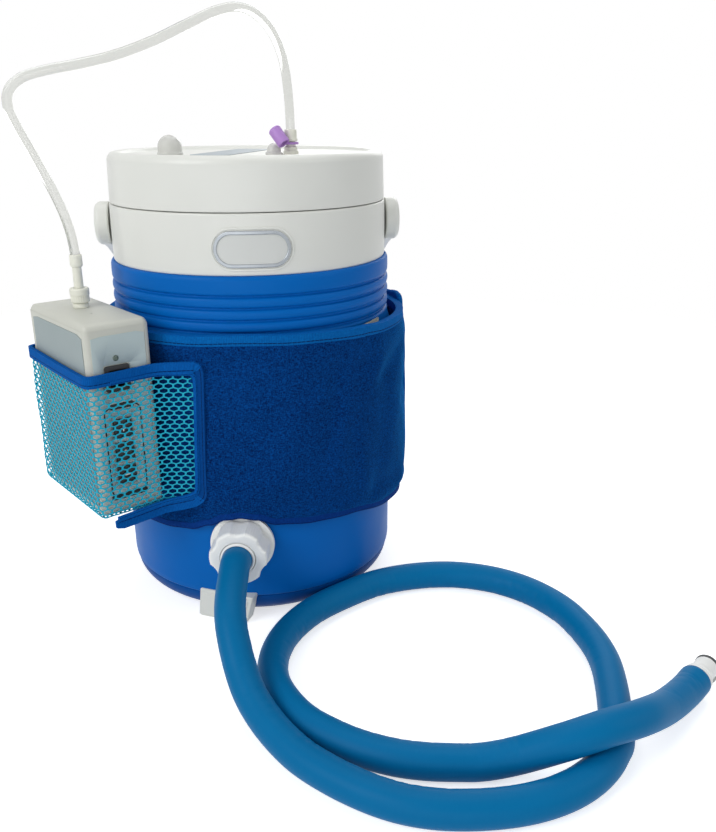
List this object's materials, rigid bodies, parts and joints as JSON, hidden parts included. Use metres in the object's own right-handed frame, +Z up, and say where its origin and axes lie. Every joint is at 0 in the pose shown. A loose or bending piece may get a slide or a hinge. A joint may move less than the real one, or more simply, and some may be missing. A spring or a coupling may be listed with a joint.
{
  "type": "hot cold therapy machine",
  "caption": "Insulated jug in a felt wrap with a pump box in a net pocket, an air line to the lid, a carrying handle and an insulated hose.",
  "frame": {"origin": "centre of the jug's underside on the floor", "axes": "+Z up along the jug's axis, -Y the way the badge looks, +X to the right of the badge"},
  "size_m": [0.4544, 0.4514, 0.4252],
  "materials": {
    "jug_blue": "satin",
    "base_blue": "satin",
    "white_shell": "satin",
    "liner_white": "satin",
    "foam": "matte",
    "badge_metal": "brushed",
    "badge_face": "satin",
    "white_fitting": "satin",
    "seal_rubber": "matte",
    "clear_fitting": "gloss",
    "grey_plate": "matte",
    "purple_rubber": "satin",
    "ivory_fitting": "satin",
    "tube_clear": "gloss",
    "hose_foam": "satin",
    "dark_ring": "matte",
    "latch_grey": "satin",
    "wrap_felt": "matte",
    "binding_tape": "matte",
    "hook_grey": "matte",
    "net_teal": "matte",
    "box_grey": "satin",
    "key_black": "matte",
    "lens_green": "gloss",
    "board_green": "matte",
    "pump_metal": "satin",
    "screw_metal": "satin"
  },
  "bodies": {
    "jug": {"barrel_shell": "jug_blue", "base_cap": "base_blue", "collar_ring": "white_shell", "front_foot": "white_shell", "vessel_liner": "liner_white", "jug_foam": "foam", "badge_ring_frame": "badge_metal", "badge_plate": "badge_face", "pivot_pins": "white_fitting", "outlet_flange": "white_fitting", "inner_nut": "white_fitting", "hose_collet": "white_fitting", "coupling_body": "white_fitting", "outlet_gasket": "seal_rubber", "box_side_plate": "grey_plate", "keypad_plate": "grey_plate", "box_port": "ivory_fitting", "union_nut": "ivory_fitting", "tube_end_box": "ivory_fitting", "air_tube": "tube_clear", "hose": "hose_foam", "coupling_ring": "dark_ring", "wrap_sleeve": "wrap_felt", "wrap_overlap": "wrap_felt", "wrap_tape_top": "binding_tape", "wrap_tape_bottom": "binding_tape", "pocket_tape_rim": "binding_tape", "pocket_tape_seam": "binding_tape", "hook_strip": "hook_grey", "pocket_net_front": "net_teal", "pocket_net_side": "net_teal", "pocket_net_seam": "net_teal", "pocket_net_rear": "net_teal", "pocket_floor": "net_teal", "box_housing": "box_grey", "box_back_cover": "box_grey", "rocker_bezel": "key_black", "power_socket": "key_black", "battery_pack": "key_black", "indicator_lens": "lens_green", "circuit_board": "board_green", "air_pump": "pump_metal", "box_screws": "screw_metal"},
    "handle": {"handle": "white_fitting"},
    "lid": {"lid_shell": "white_shell", "lid_plug": "liner_white", "lid_gasket": "seal_rubber", "lid_foam": "foam", "lid_plate": "grey_plate", "check_valve": "clear_fitting", "port_cap": "purple_rubber", "air_inlet": "ivory_fitting", "tube_end_lid": "ivory_fitting"},
    "vent_knob": {"vent_knob": "clear_fitting"},
    "hose_nut": {"hose_nut": "white_fitting"},
    "key_upper": {"key_upper": "key_black"},
    "key_middle": {"key_middle": "key_black"},
    "key_lower": {"key_lower": "key_black"},
    "power_rocker": {"power_rocker": "key_black"},
    "coupling_latch": {"coupling_latch": "latch_grey"}
  },
  "joints": [
    {"name": "lid_lift", "type": "slide", "parent": "jug", "child": "lid", "axis": [0, 0, 1], "range_m": [0, 0.2], "deforming": ["air_tube"]},
    {"name": "handle_swing", "type": "hinge", "parent": "jug", "child": "handle", "pos_m": [0, 0, 0.28], "axis": [1, 0, 0], "range_deg": [0, 112]},
    {"name": "vent_lift", "type": "slide", "parent": "lid", "child": "vent_knob", "axis": [0, 0, 1], "range_m": [0, 0.008]},
    {"name": "hose_nut_spin", "type": "hinge", "parent": "jug", "child": "hose_nut", "pos_m": [0, 0, 0.0645], "axis": [-0.1444, -0.9895, 0], "continuous": true},
    {"name": "key_upper_press", "type": "slide", "parent": "jug", "child": "key_upper", "axis": [-0.5446, 0.8387, 0], "range_m": [0, 0.001], "stiffness_N_per_m": 400},
    {"name": "key_middle_press", "type": "slide", "parent": "jug", "child": "key_middle", "axis": [-0.5446, 0.8387, 0], "range_m": [0, 0.001], "stiffness_N_per_m": 400},
    {"name": "key_lower_press", "type": "slide", "parent": "jug", "child": "key_lower", "axis": [-0.5446, 0.8387, 0], "range_m": [0, 0.001], "stiffness_N_per_m": 400},
    {"name": "rocker_tilt", "type": "hinge", "parent": "jug", "child": "power_rocker", "pos_m": [-0.09149, -0.11176, 0.1943], "axis": [-0.8387, -0.5446, 0], "range_deg": [0, 12]},
    {"name": "latch_press", "type": "slide", "parent": "jug", "child": "coupling_latch", "axis": [-0.5594, 0.6611, 0.5], "range_m": [0, 0.0012], "stiffness_N_per_m": 400}
  ]
}
